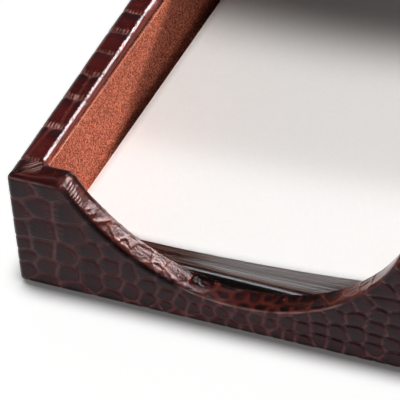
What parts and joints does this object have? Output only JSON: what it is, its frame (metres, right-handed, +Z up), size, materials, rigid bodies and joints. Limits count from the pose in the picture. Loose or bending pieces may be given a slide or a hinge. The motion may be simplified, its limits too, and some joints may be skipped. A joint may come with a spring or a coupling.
{
  "type": "memo sheet holder",
  "caption": "Open desk tray for loose memo sheets: boards wrapped in crocodile-embossed leather, a suede-lined well, a wide finger scoop in the front wall and a felt base.",
  "frame": {"origin": "middle of the footprint on the desk, at the underside of the felt pad", "axes": "+Z up, +X to the right, +Y to the back; the scooped front wall faces -Y"},
  "size_m": [0.1226, 0.1734, 0.0366],
  "materials": {
    "fibreboard": "raw",
    "steel": "bright",
    "embossed_leather": "satin",
    "card": "matte",
    "dark_card": "matte",
    "suede": "napped",
    "felt": "matte",
    "paper": "matte"
  },
  "bodies": {
    "tray": {"base_board": "fibreboard", "front_board": "fibreboard", "back_board": "fibreboard", "left_board": "fibreboard", "right_board": "fibreboard", "corner_brads": "steel", "base_brads": "steel", "front_cover": "embossed_leather", "back_cover": "embossed_leather", "left_cover": "embossed_leather", "right_cover": "embossed_leather", "front_infill": "card", "back_infill": "card", "left_infill": "card", "right_infill": "card", "base_infill": "card", "front_lining": "suede", "back_lining": "suede", "left_lining": "suede", "right_lining": "suede", "floor_lining": "suede", "felt_pad": "felt"},
    "memo_stack": {"backing_card": "dark_card", "memo_sheets": "paper"},
    "loose_sheet": {"top_sheet": "paper"}
  },
  "joints": [
    {"name": "stack_lift", "type": "slide", "parent": "tray", "child": "memo_stack", "axis": [0, 0, 1], "range_m": [0, 0.04]},
    {"name": "sheet_lift", "type": "slide", "parent": "memo_stack", "child": "loose_sheet", "axis": [0, 0, 1], "range_m": [0, 0.03]}
  ]
}
